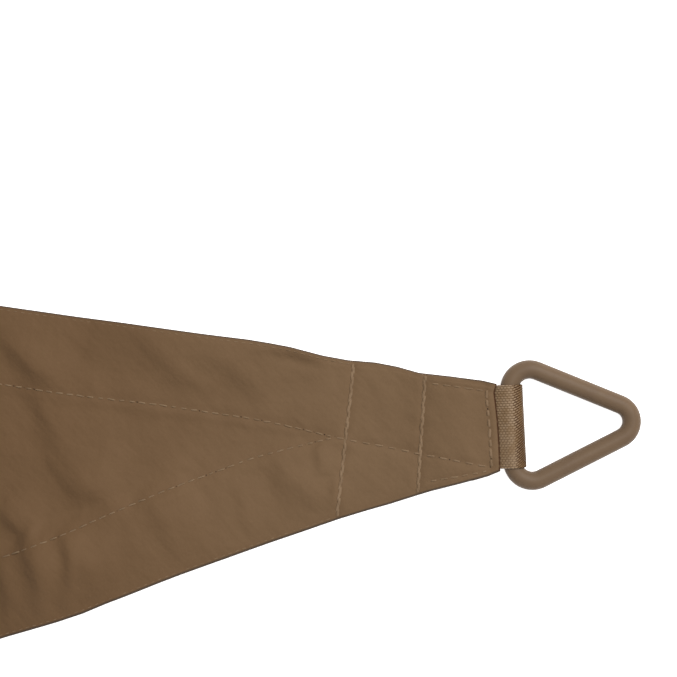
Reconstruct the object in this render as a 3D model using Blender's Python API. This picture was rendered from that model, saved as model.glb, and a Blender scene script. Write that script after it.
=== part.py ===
# A three-cornered shade sail laid out on level ground: one cloth with wide sewn hems and,
# at each corner, a loop of webbing sewn into the cloth's end that holds a triangular ring.
#
# Sizes are in millimetres and become metres when a mesh is made.  The plan is worked out
# about the middle of the sail, with the front corner towards +X.  Each corner also has a
# plan of its own: "inward" runs from the middle of the cloth's end towards the middle of
# the sail, and "across" runs to the left of someone who looks outward along the corner.

import math

import bmesh
import bpy
import numpy as np
from mathutils import Matrix, Vector

METRE = 0.001                # one millimetre, in metres

# Plan of the cloth
SIDE = 3600.0                # corner to corner, between the middles of the cloth's ends
END_WIDTH = 40.8             # the cloth's short end at each corner
EDGE_TURN = 17.0             # degrees that a hollow edge turns in from the straight side
HEM_WIDTH = 38.5             # from the edge to the hem's inner seam
HEM_STEP = 4.0               # width over which the hem's layers fall away to the single cloth
REACH = SIDE / math.sqrt(3)  # from the cloth's end to the middle of the sail
CORNER_HALF_ANGLE = math.radians(30.0 - EDGE_TURN)
EDGE_CHORD = SIDE - END_WIDTH * math.sin(math.radians(30.0))
EDGE_RADIUS = EDGE_CHORD / 2 / math.sin(math.radians(EDGE_TURN))
EDGE_HALF_LENGTH = EDGE_RADIUS * math.radians(EDGE_TURN)

# Layers
GAP = 0.3                    # left between one piece and the next
CLOTH = 1.0                  # the single cloth
HEM = 2.4                    # folded hem
CORNER = 3.8                 # the two hems over each other
LIP = 1.0                    # cloth above and below the webbing's ends
WEBBING = 1.2
WEBBING_WIDTH = 40.0
POCKET = 2 * WEBBING + 3 * GAP
END = 2 * LIP + POCKET
POCKET_DEPTH = 14.0
TAIL_LENGTH = 11.5           # webbing held inside the pocket
END_SEAM = 34.0              # from the end to the near cross seam, where the extra layers stop
CORNER_SEAM = 76.0           # from the end to the far cross seam, where the hems part

# Ring: an isosceles triangle of round rod, its base the bar that the webbing goes round
ROD = 8.8
RING_BASE = 62.7             # outside width of the base
RING_TIP_ANGLE = 49.5        # degrees between the two long sides
BASE_BEND = 9.5              # radius of the rod's middle line at the base corners
TIP_BEND = 9.0               # and at the tip
ROD_SIDES = 16
BEND_STEPS = 7               # an odd number puts a flat on the inside of the tip

# How the corner hardware sits
BAR_OUT = 7.0                # from the cloth's end to the middle of the bar
LOOP_ROOM = 0.5              # the webbing's turn is wider than the rod, clear of the ring's bends
TURN_RADIUS = (ROD + LOOP_ROOM + WEBBING) / 2 + GAP
BAR_HEIGHT = TURN_RADIUS + WEBBING / 2
BEND_OUT = 1.2               # where the webbing leaves the plane of the cloth
LOOP_STEPS = 16
END_LIFT = 2.2               # the stiff end of the cloth is held up by the ring
END_LIFT_REACH = 60.0

# Rows and columns of the cloth's mesh
HEM_COLUMNS = 2
FIELD_COLUMNS = 8
WIDEST_HEM = 0.48            # of the half width, where the hems come together

# Each corner: direction of the corner and turn of its ring and of the cloth's end, in
# degrees, how far the ring sits across, and the mesh's first row step, fine reach and growth.
CORNERS = (
    # name, direction, ring_turn, ring_across, end_turn, row_step, fine_reach, row_growth
    ("front", 0.0, -3.2, -0.6, -1.8, 7.5, 260.0, 1.20),
    ("left", 120.0, 2.0, 0.3, 0.6, 15.0, 100.0, 1.22),
    ("right", 240.0, -1.5, 0.0, -0.5, 15.0, 100.0, 1.22),
)

# The front corner as it lies: how far its left and right edges have moved outward.
FRONT_OUTLINE = (
    # inward, left_out, right_out
    (0.0, 0.1, -0.1),
    (6.0, 1.8, 0.5),
    (20.0, 2.0, -0.2),
    (35.0, 2.1, -1.8),
    (45.0, 3.5, -2.2),
    (55.0, 4.1, -2.7),
    (68.0, 3.5, -3.5),
    (80.0, 4.4, -4.1),
    (95.0, 6.0, -4.4),
    (115.0, 6.9, -5.0),
    (160.0, 6.4, -5.3),
    (210.0, 5.7, -4.8),
    (250.0, 5.2, -8.2),
    (400.0, 2.5, -5.0),
    (700.0, 0.0, 0.0),
)

# How high the cloth stands off the ground along the front corner's middle line.
FRONT_PUFF = (
    # inward, height
    (75.0, 0.0),
    (110.0, 2.5),
    (150.0, 4.5),
    (210.0, 6.0),
    (300.0, 6.0),
    (520.0, 0.0),
)

# Folds, as soft ridges.  "plan" says whether the two columns of each point are inward and
# across from that corner's end, or x and y about the middle of the sail.  Looking from a
# fold's start to its end, left_width and right_width are how far its two sides run out.
FOLDS = (
    # plan, start, middle, end, height, left_width, right_width
    ("front", (229, 80), (220, 64), (209, 50), 2.4, 13.0, 7.0),
    ("front", (216, 37), (200, 8), (181, -14), 3.4, 13.0, 7.0),
    ("front", (236, 28), (218, 3), (200, -13), 2.2, 9.0, 6.0),
    ("front", (168, 68), (136, 43), (106, 29), 2.6, 13.0, 8.0),
    ("front", (106, 0), (98, -8), (88, -24), 2.2, 10.0, 9.0),
    ("front", (176, -4), (164, -18), (159, -46), 2.2, 11.0, 6.0),
    ("front", (229, -37), (223, -50), (224, -66), 3.0, 11.0, 7.0),
    ("front", (290, 60), (330, 30), (400, 20), 7.0, 24.0, 20.0),
    ("front", (280, -40), (340, -60), (430, -50), 8.0, 26.0, 22.0),
    ("front", (330, 90), (420, 75), (540, 90), 8.0, 28.0, 24.0),
    ("front", (420, 10), (560, 15), (760, -10), 14.0, 46.0, 38.0),
    ("front", (480, -110), (640, -130), (860, -190), 15.0, 50.0, 46.0),
    ("front", (560, 110), (720, 130), (980, 200), 16.0, 56.0, 50.0),
    ("front", (900, -20), (1100, 30), (1420, 20), 20.0, 84.0, 74.0),
    ("front", (980, 260), (1080, 160), (1120, -40), 13.0, 70.0, 80.0),
    ("left", (110, 8), (190, 14), (320, 6), 5.0, 16.0, 14.0),
    ("left", (150, -22), (250, -36), (400, -50), 7.0, 20.0, 18.0),
    ("left", (330, 40), (470, 58), (700, 60), 13.0, 38.0, 34.0),
    ("left", (420, -90), (620, -100), (880, -60), 15.0, 48.0, 54.0),
    ("left", (760, 120), (960, 180), (1260, 180), 18.0, 78.0, 70.0),
    ("left", (820, -240), (1020, -170), (1300, -200), 16.0, 75.0, 80.0),
    ("left", (1000, 10), (1200, -20), (1500, 40), 15.0, 85.0, 75.0),
    ("right", (120, -6), (210, -14), (360, -10), 5.0, 17.0, 15.0),
    ("right", (160, 26), (270, 40), (420, 70), 7.0, 22.0, 18.0),
    ("right", (360, -44), (520, -70), (760, -60), 14.0, 42.0, 46.0),
    ("right", (480, 90), (680, 130), (960, 110), 15.0, 52.0, 46.0),
    ("right", (800, -160), (1020, -140), (1300, -220), 18.0, 80.0, 72.0),
    ("right", (900, 260), (1080, 200), (1360, 230), 15.0, 75.0, 82.0),
    ("middle", (330, 520), (190, 330), (160, 120), 15.0, 85.0, 75.0),
    ("middle", (-640, 60), (-480, -60), (-330, -330), 16.0, 85.0, 90.0),
    ("middle", (-560, 330), (-330, 400), (-60, 330), 12.0, 85.0, 78.0),
    ("middle", (240, -560), (170, -380), (40, -260), 12.0, 80.0, 74.0),
)
FOLD_STEPS = 8
SETTLE = 1.0                 # height below which a fold sinks onto the ground
EDGE_KEEPS = 0.5             # share of a fold's height that is left at the heavy hem's edge
EDGE_WEIGHT = 150.0          # how far in the hem holds the folds down
EDGE_WEIGHT_SHARE = 0.45     # and no further than this share of the half width

COLOURS = {
    # finish: base colour, roughness, metallic
    "cloth": ((0.180, 0.115, 0.065, 1.0), 0.85, 0.0),
    "webbing": ((0.235, 0.165, 0.100, 1.0), 0.75, 0.0),
    "painted_ring": ((0.180, 0.130, 0.095, 1.0), 0.40, 0.1),
}


def clear_objects():
    for thing in list(bpy.data.objects):
        bpy.data.objects.remove(thing, do_unlink=True)


def make_material(name):
    colour, roughness, metallic = COLOURS[name]
    material = bpy.data.materials.new(name)
    material.use_nodes = True
    shader = material.node_tree.nodes["Principled BSDF"]
    shader.inputs["Base Color"].default_value = colour
    shader.inputs["Roughness"].default_value = roughness
    shader.inputs["Metallic"].default_value = metallic
    return material


def make_object(name, solid, material, smooth_below=40.0):
    """A finished solid, drawn in millimetres, as an object in metres."""
    bmesh.ops.recalc_face_normals(solid, faces=solid.faces)
    bmesh.ops.scale(solid, vec=(METRE, METRE, METRE), verts=solid.verts)
    mesh = bpy.data.meshes.new(name)
    solid.to_mesh(mesh)
    solid.free()
    mesh.materials.append(material)
    mesh.shade_smooth()
    mesh.set_sharp_from_angle(angle=math.radians(smooth_below))
    thing = bpy.data.objects.new(name, mesh)
    bpy.context.scene.collection.objects.link(thing)
    return thing


def read_table(table, column, inward):
    """A table's column at the given distances inward, straight from row to row."""
    distances = [row[0] for row in table]
    values = [row[column] for row in table]
    return np.interp(inward, distances, values)


def ease(share):
    """From 0 to 1 without a corner at either end."""
    share = np.clip(share, 0.0, 1.0)
    return share * share * (3.0 - 2.0 * share)


# ---- plan of the cloth ----

def corner_to_sail(direction, points):
    """Points inward and across from a corner's end, as x and y about the sail's middle."""
    outward = np.array((math.cos(direction), math.sin(direction)))
    leftward = np.array((-outward[1], outward[0]))
    return (REACH - points[..., :1]) * outward + points[..., 1:] * leftward


def sail_to_corner(direction, points):
    outward = np.array((math.cos(direction), math.sin(direction)))
    leftward = np.array((-outward[1], outward[0]))
    return np.stack((REACH - points @ outward, points @ leftward), axis=-1)


def edge_point(along):
    """A point on the hollow edge, inward and across, at a length along it from the end."""
    heading = CORNER_HALF_ANGLE + along / EDGE_RADIUS
    inward = EDGE_RADIUS * (math.sin(heading) - math.sin(CORNER_HALF_ANGLE))
    across = END_WIDTH / 2 + EDGE_RADIUS * (math.cos(CORNER_HALF_ANGLE) - math.cos(heading))
    return inward, across


def row_distances(step, fine_reach, growth):
    """Rows inward from the end: even at first, then wider and wider to the sail's middle."""
    rows = [POCKET_DEPTH]
    while rows[-1] < REACH:
        if rows[-1] > fine_reach:
            step *= growth
        rows.append(rows[-1] + step)
    stretch = (REACH - POCKET_DEPTH) / (rows[-1] - POCKET_DEPTH)
    return [0.0] + [POCKET_DEPTH + (row - POCKET_DEPTH) * stretch for row in rows]


def column_shares(half_width):
    """Shares of the half width, from the edge (1) to the middle line (0), for half a row."""
    hem = min(HEM_WIDTH / half_width, WIDEST_HEM)
    step = hem + min(HEM_STEP / half_width, (1 - WIDEST_HEM) / FIELD_COLUMNS)
    hem_part = [hem * i / HEM_COLUMNS for i in range(HEM_COLUMNS + 1)]
    field_part = [step + (1 - step) * i / FIELD_COLUMNS for i in range(FIELD_COLUMNS + 1)]
    return [1 - share for share in hem_part + field_part]


def corner_grid(corner):
    """Plan of one corner's third of the cloth, each point's distance in from the edge, and
    how far in the hem holds the folds down there."""
    name, _, _, _, end_turn, step, fine_reach, growth = corner
    plan = []
    from_edge = []
    weighed = []
    slack = REACH / math.cos(CORNER_HALF_ANGLE) - EDGE_HALF_LENGTH
    for inward in row_distances(step, fine_reach, growth):
        along = inward / math.cos(CORNER_HALF_ANGLE) - slack * (inward / REACH) ** 2
        edge = edge_point(along)
        half_width = math.hypot(edge[0] - inward, edge[1])
        shares = column_shares(half_width)
        shares = [-share for share in shares] + shares[-2::-1]
        plan.append([(inward + (edge[0] - inward) * abs(s), edge[1] * s) for s in shares])
        from_edge.append([(1 - abs(s)) * half_width for s in shares])
        weighed.append([min(EDGE_WEIGHT, EDGE_WEIGHT_SHARE * half_width)] * len(shares))
    plan = np.array(plan)
    shares = plan[..., 1] / np.abs(plan[:, :1, 1])
    if name == "front":
        left_out = read_table(FRONT_OUTLINE, 1, plan[..., 0])
        right_out = read_table(FRONT_OUTLINE, 2, plan[..., 0])
        plan[..., 1] += left_out * (1 + shares) / 2 - right_out * (1 - shares) / 2
    skew = math.tan(math.radians(end_turn)) * ease(1 - plan[..., 0] / END_LIFT_REACH)
    plan[..., 0] += plan[..., 1] * skew
    return plan, np.array(from_edge), np.array(weighed)


# ---- relief ----

def fold_route(start, middle, end):
    """Points on the smooth curve through a fold's three points."""
    start, middle, end = (np.array(point, dtype=float) for point in (start, middle, end))
    pull = 2 * middle - (start + end) / 2
    t = np.linspace(0, 1, FOLD_STEPS + 1)[:, None]
    return (1 - t) ** 2 * start + 2 * t * (1 - t) * pull + t ** 2 * end


def fold_height(points, route, height, left_width, right_width):
    """What one fold adds at each point: a soft ridge that dies away at both ends."""
    nearest = np.full(points.shape[:-1], np.inf)
    share = np.zeros(points.shape[:-1])
    width = np.full(points.shape[:-1], left_width)
    for i in range(len(route) - 1):
        run = route[i + 1] - route[i]
        offset = points - route[i]
        along = np.clip(offset @ run / (run @ run), 0, 1)
        away = np.linalg.norm(offset - along[..., None] * run, axis=-1)
        on_left = run[0] * offset[..., 1] > run[1] * offset[..., 0]
        closer = away < nearest
        nearest = np.where(closer, away, nearest)
        share = np.where(closer, (i + along) / (len(route) - 1), share)
        width = np.where(closer, np.where(on_left, left_width, right_width), width)
    fade = np.sqrt(4 * share * (1 - share))
    return height * fade * np.exp(-(nearest / width) ** 2)


def lift_at(points, from_edge, weighed):
    """Height of the cloth's underside over the ground, at x and y about the sail's middle."""
    directions = {corner[0]: math.radians(corner[1]) for corner in CORNERS}
    plans = {name: sail_to_corner(turn, points) for name, turn in directions.items()}
    plans["middle"] = points
    front = plans["front"]
    total = read_table(FRONT_PUFF, 1, front[..., 0])
    for plan, start, middle, end, *form in FOLDS:
        total = total + fold_height(plans[plan], fold_route(start, middle, end), *form)
    total = total * (EDGE_KEEPS + (1 - EDGE_KEEPS) * ease(from_edge / weighed))
    total = np.maximum(total, 0.0)
    lift = total * total / (total + SETTLE)
    for name in directions:
        inward = plans[name][..., 0]
        share = (inward - POCKET_DEPTH) / (END_LIFT_REACH - POCKET_DEPTH)
        lift = lift + END_LIFT * (1 - ease(share))
    return lift


def thickness_at(inward, from_edge):
    """Layers of cloth: single in the field, folded in the hem, most of all at the end."""
    hem = 1 - ease((from_edge - HEM_WIDTH) / HEM_STEP)
    corner = 1 - ease((inward - CORNER_SEAM) / (2 * HEM_STEP))
    end = 1 - ease((inward - END_SEAM + 2 * HEM_STEP) / (3 * HEM_STEP))
    layers = CLOTH + (HEM - CLOTH) * np.maximum(hem, corner)
    return layers + (CORNER - HEM) * corner + (END - CORNER) * end


# ---- the cloth's solid ----

def add_sheet(solid, heights, plan):
    """Loose vertices of one face of the cloth, row by row."""
    rows, columns = heights.shape
    grid = []
    for i in range(rows):
        grid.append([solid.verts.new((*plan[i, j], heights[i, j])) for j in range(columns)])
    return grid


def add_strip(solid, first, second):
    """Triangles between two equal runs of vertices, all split the same way."""
    for i in range(len(first) - 1):
        solid.faces.new((first[i], first[i + 1], second[i]))
        solid.faces.new((first[i + 1], second[i + 1], second[i]))


def add_cloth_third(solid, corner):
    """One corner's third of the cloth, with the pocket in its end, open towards the middle."""
    plan, from_edge, weighed = corner_grid(corner)
    points = corner_to_sail(math.radians(corner[1]), plan)
    lift = lift_at(points, from_edge, weighed)
    thick = thickness_at(plan[..., 0], from_edge)
    under = add_sheet(solid, lift, points)
    over = add_sheet(solid, lift + thick, points)
    floor = add_sheet(solid, lift[:2] + LIP, points)
    roof = add_sheet(solid, lift[:2] + LIP + POCKET, points)
    for i in range(len(over) - 1):
        add_strip(solid, under[i], under[i + 1])
        add_strip(solid, over[i], over[i + 1])
    add_strip(solid, floor[0], floor[1])
    add_strip(solid, roof[0], roof[1])
    add_strip(solid, floor[1], roof[1])
    add_strip(solid, under[0], floor[0])
    add_strip(solid, roof[0], over[0])
    for side in (0, -1):
        add_strip(solid, [row[side] for row in under[:2]], [row[side] for row in floor])
        add_strip(solid, [row[side] for row in roof], [row[side] for row in over[:2]])
        wall = (under[1][side], floor[1][side], roof[1][side], over[1][side])
        inner = (over[2][side], under[2][side])
        solid.faces.new((wall[0], wall[1], inner[1]))
        solid.faces.new((wall[1], wall[2], inner[1]))
        solid.faces.new((wall[2], inner[0], inner[1]))
        solid.faces.new((wall[2], wall[3], inner[0]))
        add_strip(solid, [row[side] for row in under[2:]], [row[side] for row in over[2:]])


def make_sail(material):
    solid = bmesh.new()
    for corner in CORNERS:
        add_cloth_third(solid, corner)
    bmesh.ops.remove_doubles(solid, verts=solid.verts, dist=0.01)
    return make_object("sail", solid, material)


# ---- webbing loop ----

def leg_to_bar(start, rises):
    """Where a leg of the loop meets the turn round the bar, as an angle about the bar."""
    away = Vector((LOOP_ROOM / 2 - start[0], BAR_HEIGHT - start[1]))
    turn = math.asin(TURN_RADIUS / away.length)
    heading = math.atan2(away.y, away.x) + (turn if rises else -turn)
    return heading + math.pi / 2 if rises else heading - math.pi / 2


def loop_line():
    """Middle line of the webbing seen from its side, from the lower end to the upper end."""
    lower = END_LIFT + LIP + GAP + WEBBING / 2
    upper = lower + WEBBING + GAP
    tail = -BAR_OUT - TAIL_LENGTH
    bend = -BAR_OUT + BEND_OUT
    first = leg_to_bar((bend, lower), rises=False)
    last = leg_to_bar((bend, upper), rises=True)
    line = [(tail, lower), (bend, lower)]
    for i in range(LOOP_STEPS + 1):
        angle = first + (last - first) * i / LOOP_STEPS
        outward = LOOP_ROOM / 2 + TURN_RADIUS * math.cos(angle)
        line.append((outward, BAR_HEIGHT + TURN_RADIUS * math.sin(angle)))
    return line + [(bend, upper), (tail, upper)]


def offset_line(line, distance):
    """The line moved sideways by a distance, with mitred corners."""
    line = [Vector(point) for point in line]
    runs = [(b - a).normalized() for a, b in zip(line, line[1:])]
    runs = [runs[0]] + runs + [runs[-1]]
    moved = []
    for point, before, after in zip(line, runs, runs[1:]):
        middle = (before + after).normalized()
        side = Vector((-middle.y, middle.x))
        moved.append(point + side * distance / middle.dot(after))
    return moved


def make_loop(name, place, material):
    line = loop_line()
    outline = offset_line(line, WEBBING / 2) + offset_line(line, -WEBBING / 2)[::-1]
    solid = bmesh.new()
    near = [solid.verts.new((point.x, -WEBBING_WIDTH / 2, point.y)) for point in outline]
    cap = solid.faces.new(near)
    grown = bmesh.ops.extrude_face_region(solid, geom=[cap])
    far = [item for item in grown["geom"] if isinstance(item, bmesh.types.BMVert)]
    bmesh.ops.translate(solid, vec=(0, WEBBING_WIDTH, 0), verts=far)
    cap_faces = [face for face in solid.faces if len(face.verts) > 4]
    bmesh.ops.triangulate(solid, faces=cap_faces, ngon_method="EAR_CLIP")
    bmesh.ops.transform(solid, matrix=place, verts=solid.verts)
    return make_object(name, solid, material)


# ---- ring ----

def run_on(solid, section, move):
    """Extrude the rod's section along a straight run."""
    grown = bmesh.ops.extrude_edge_only(solid, edges=section)
    verts = [item for item in grown["geom"] if isinstance(item, bmesh.types.BMVert)]
    bmesh.ops.translate(solid, vec=move, verts=verts)
    return [item for item in grown["geom"] if isinstance(item, bmesh.types.BMEdge)]


def bend_on(solid, section, centre, degrees):
    """Carry the rod's section round a bend."""
    turned = bmesh.ops.spin(solid, geom=section, cent=centre, axis=(0, 0, 1),
                            angle=math.radians(degrees), steps=BEND_STEPS)
    return [item for item in turned["geom_last"] if isinstance(item, bmesh.types.BMEdge)]


def make_ring(name, place, material):
    """Round rod bent into a triangle: from the middle of the bar round and back to it."""
    half_tip = math.radians(RING_TIP_ANGLE / 2)
    base_turn = 90.0 + RING_TIP_ANGLE / 2
    tip_turn = 180.0 - RING_TIP_ANGLE
    bar_end = (RING_BASE - ROD) / 2 - BASE_BEND
    base_corner = bar_end + BASE_BEND * math.tan(math.radians(base_turn / 2))
    tip_centre = base_corner / math.tan(half_tip) - TIP_BEND / math.sin(half_tip)
    side_run = (Vector((tip_centre, 0)) - Vector((BASE_BEND, bar_end))
                + (TIP_BEND - BASE_BEND) * Vector((math.sin(half_tip), math.cos(half_tip))))
    solid = bmesh.new()
    stand = Matrix.Rotation(math.radians(90), 4, "X")
    spin_to_flat = Matrix.Rotation(math.pi / ROD_SIDES, 4, "Z")
    bmesh.ops.create_circle(solid, segments=ROD_SIDES, radius=ROD / 2, matrix=stand @ spin_to_flat)
    section = run_on(solid, list(solid.edges), (0, bar_end, 0))
    section = bend_on(solid, section, (BASE_BEND, bar_end, 0), -base_turn)
    section = run_on(solid, section, (side_run.x, side_run.y, 0))
    section = bend_on(solid, section, (tip_centre, 0, 0), -tip_turn)
    section = run_on(solid, section, (-side_run.x, side_run.y, 0))
    section = bend_on(solid, section, (BASE_BEND, -bar_end, 0), -base_turn)
    run_on(solid, section, (0, bar_end, 0))
    bmesh.ops.remove_doubles(solid, verts=solid.verts, dist=0.01)
    tip_reach = tip_centre + TIP_BEND
    tilt = Matrix.Rotation(math.asin((BAR_HEIGHT - ROD / 2) / tip_reach), 4, "Y")
    lift = Matrix.Translation((0, 0, BAR_HEIGHT))
    bmesh.ops.transform(solid, matrix=place @ lift @ tilt, verts=solid.verts)
    return make_object(name, solid, material)


# ---- whole sail ----

def centre_on_origin(things):
    """Bring the middle of the overall length and width onto the origin."""
    corners = np.array([vertex.co for thing in things for vertex in thing.data.vertices])
    middle = (corners.min(axis=0) + corners.max(axis=0)) / 2
    for thing in things:
        thing.data.transform(Matrix.Translation((-middle[0], -middle[1], 0)))


def build():
    clear_objects()
    materials = {name: make_material(name) for name in COLOURS}
    things = [make_sail(materials["cloth"])]
    for name, direction, ring_turn, ring_across, *_ in CORNERS:
        place = (Matrix.Rotation(math.radians(direction), 4, "Z")
                 @ Matrix.Translation((REACH + BAR_OUT, ring_across, 0))
                 @ Matrix.Rotation(math.radians(ring_turn), 4, "Z"))
        things.append(make_loop("webbing_loop_" + name, place, materials["webbing"]))
        things.append(make_ring("ring_" + name, place, materials["painted_ring"]))
    centre_on_origin(things)


build()
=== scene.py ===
import math

import bmesh
import bpy
import numpy as np
from mathutils import Matrix, Vector


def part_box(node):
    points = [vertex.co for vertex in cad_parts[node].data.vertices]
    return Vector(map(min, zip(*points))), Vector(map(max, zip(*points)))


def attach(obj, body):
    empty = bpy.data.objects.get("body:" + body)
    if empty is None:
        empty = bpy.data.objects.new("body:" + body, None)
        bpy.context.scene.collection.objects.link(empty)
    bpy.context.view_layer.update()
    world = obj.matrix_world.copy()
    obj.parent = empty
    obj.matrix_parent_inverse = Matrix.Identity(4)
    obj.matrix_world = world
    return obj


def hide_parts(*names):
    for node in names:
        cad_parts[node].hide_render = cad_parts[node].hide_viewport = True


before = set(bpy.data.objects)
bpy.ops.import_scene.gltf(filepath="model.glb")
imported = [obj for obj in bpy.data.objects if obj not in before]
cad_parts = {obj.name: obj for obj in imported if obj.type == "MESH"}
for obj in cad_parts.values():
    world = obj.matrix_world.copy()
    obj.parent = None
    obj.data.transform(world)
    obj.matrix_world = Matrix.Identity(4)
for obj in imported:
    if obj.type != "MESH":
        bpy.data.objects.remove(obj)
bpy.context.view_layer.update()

# A shade sail lying on pale ground, seen from above its front corner.
# Pieces are drawn in millimetres about the sail's middle and become metres when they are finished.
# At each corner "inward" runs from the cloth's end towards the sail's middle, and "across" runs
# to the left of someone who looks outward. A share of 1 is the left edge and -1 the right one.

mm = 0.001

plan = {
    "side": 3600.0,  # corner to corner
    "endWidth": 40.8,
    "edgeTurn": 17.0,  # degrees that the hollow edge turns in from the straight side
    "earFrom": 17.0,  # across, where the end's left corner starts to reach out
    "earWidth": 4.5,
    "corners": {
        "front": {"direction": 0.0, "ringTurn": -3.2, "ringSway": -0.5, "ringAcross": 0.3,
                  "ringSlide": 0.2, "endTurn": -1.8, "endShift": -0.3, "endBow": 0.75, "endEar": 1.5},
        "left": {"direction": 120.0, "ringTurn": 2.0, "ringSway": 0.3, "ringAcross": 0.3,
                 "ringSlide": -0.2, "endTurn": 0.6, "endShift": 0.0, "endBow": 0.4, "endEar": 0.5},
        "right": {"direction": 240.0, "ringTurn": -1.5, "ringSway": 0.0, "ringAcross": 0.0,
                  "ringSlide": 0.1, "endTurn": -0.5, "endShift": 0.0, "endBow": 0.5, "endEar": 0.8},
    },
    "frontOutline": (  # inward, left edge outward, right edge outward
        (0, 1.1, 0.0), (6, 2.0, 0.5), (20, 2.3, -0.4), (35, 2.1, -1.6), (45, 3.8, -1.9),
        (55, 4.5, -2.2), (68, 3.85, -3.1), (80, 4.5, -3.7), (95, 6.55, -3.95), (105, 7.1, -4.2),
        (115, 7.35, -4.5), (136, 6.95, -4.85), (160, 6.75, -5.4), (172, 6.65, -5.4),
        (184, 6.4, -5.25), (196, 6.1, -5.25), (208, 5.95, -4.8), (220, 5.75, -5.3),
        (232, 5.55, -6.2), (250, 5.3, -7.6), (400, 2.5, -5.0), (700, 0, 0),
    ),
}
reach = plan["side"] / math.sqrt(3)
halfAngle = math.radians(30 - plan["edgeTurn"])
edgeRadius = (plan["side"] - plan["endWidth"] / 2) / 2 / math.sin(math.radians(plan["edgeTurn"]))
edgeHalfLength = edgeRadius * math.radians(plan["edgeTurn"])

layers = {
    "gap": 0.3,  # between one piece and the next
    "cloth": 1.0,
    "hem": 1.8,
    "corner": 2.9,  # where the two hems lie over each other
    "lip": 1.0,  # the cloth above and below the webbing's ends
    "webbing": 1.2,
    "hemWidth": 38.5,
    "hemStep": 6.0,  # the width over which the hem's layers fall away
    "cornerSeam": 74.0,
    "cornerStep": 30.0,
    "pocketDepth": 14.0,
    "endStep": 30.0,
    "endLift": 4.2,  # the stiff end is held up by the ring
    "endLiftReach": 60.0,
    "lipOpen": (  # inward, and how far the webbing's two layers spread each face of the cloth's end
        (0, 0.8), (1.0, 1.15), (2.2, 1.3), (3.4, 1.1), (5.0, 0.6), (9.0, 0.0),
    ),
}
pocket = 2 * layers["webbing"] + 3 * layers["gap"]
endThick = 2 * layers["lip"] + pocket


def ease(x):
    x = np.clip(x, 0, 1)
    return x * x * (3 - 2 * x)


def readTable(table, column, at):
    return np.interp(at, [line[0] for line in table], [line[column] for line in table])


# where things are on the ground

def edgeLine(along):
    heading = halfAngle + along / edgeRadius
    inward = edgeRadius * (np.sin(heading) - math.sin(halfAngle))
    across = plan["endWidth"] / 2 + edgeRadius * (math.cos(halfAngle) - np.cos(heading))
    return inward, across


def alongOf(row):  # length along the edge at which a row of the cloth meets it
    slack = reach / math.cos(halfAngle) - edgeHalfLength
    return row / math.cos(halfAngle) - slack * (row / reach) ** 2


def halfWidthOf(row):
    inward, across = edgeLine(alongOf(row))
    return np.hypot(inward - row, across)


def cornerPlan(corner, row, share):  # inward and across of a point on the cloth
    edgeInward, edgeAcross = edgeLine(alongOf(row))
    inward = row + (edgeInward - row) * np.abs(share)
    across = edgeAcross * share
    if corner == "front":
        across = (across + readTable(plan["frontOutline"], 1, inward) * (1 + share) / 2
                  - readTable(plan["frontOutline"], 2, inward) * (1 - share) / 2)
    turn = math.tan(math.radians(plan["corners"][corner]["endTurn"]))
    inward = inward + across * turn * ease(1 - inward / layers["endLiftReach"])
    return inward, across


def toSail(corner, inward, across):  # the same as x and y about the sail's middle
    a = math.radians(plan["corners"][corner]["direction"])
    x = (reach - inward) * math.cos(a) - across * math.sin(a)
    y = (reach - inward) * math.sin(a) + across * math.cos(a)
    return x, y


def toCorner(corner, x, y):
    a = math.radians(plan["corners"][corner]["direction"])
    return reach - x * math.cos(a) - y * math.sin(a), y * math.cos(a) - x * math.sin(a)


# folds of the cloth as it lies

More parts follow.
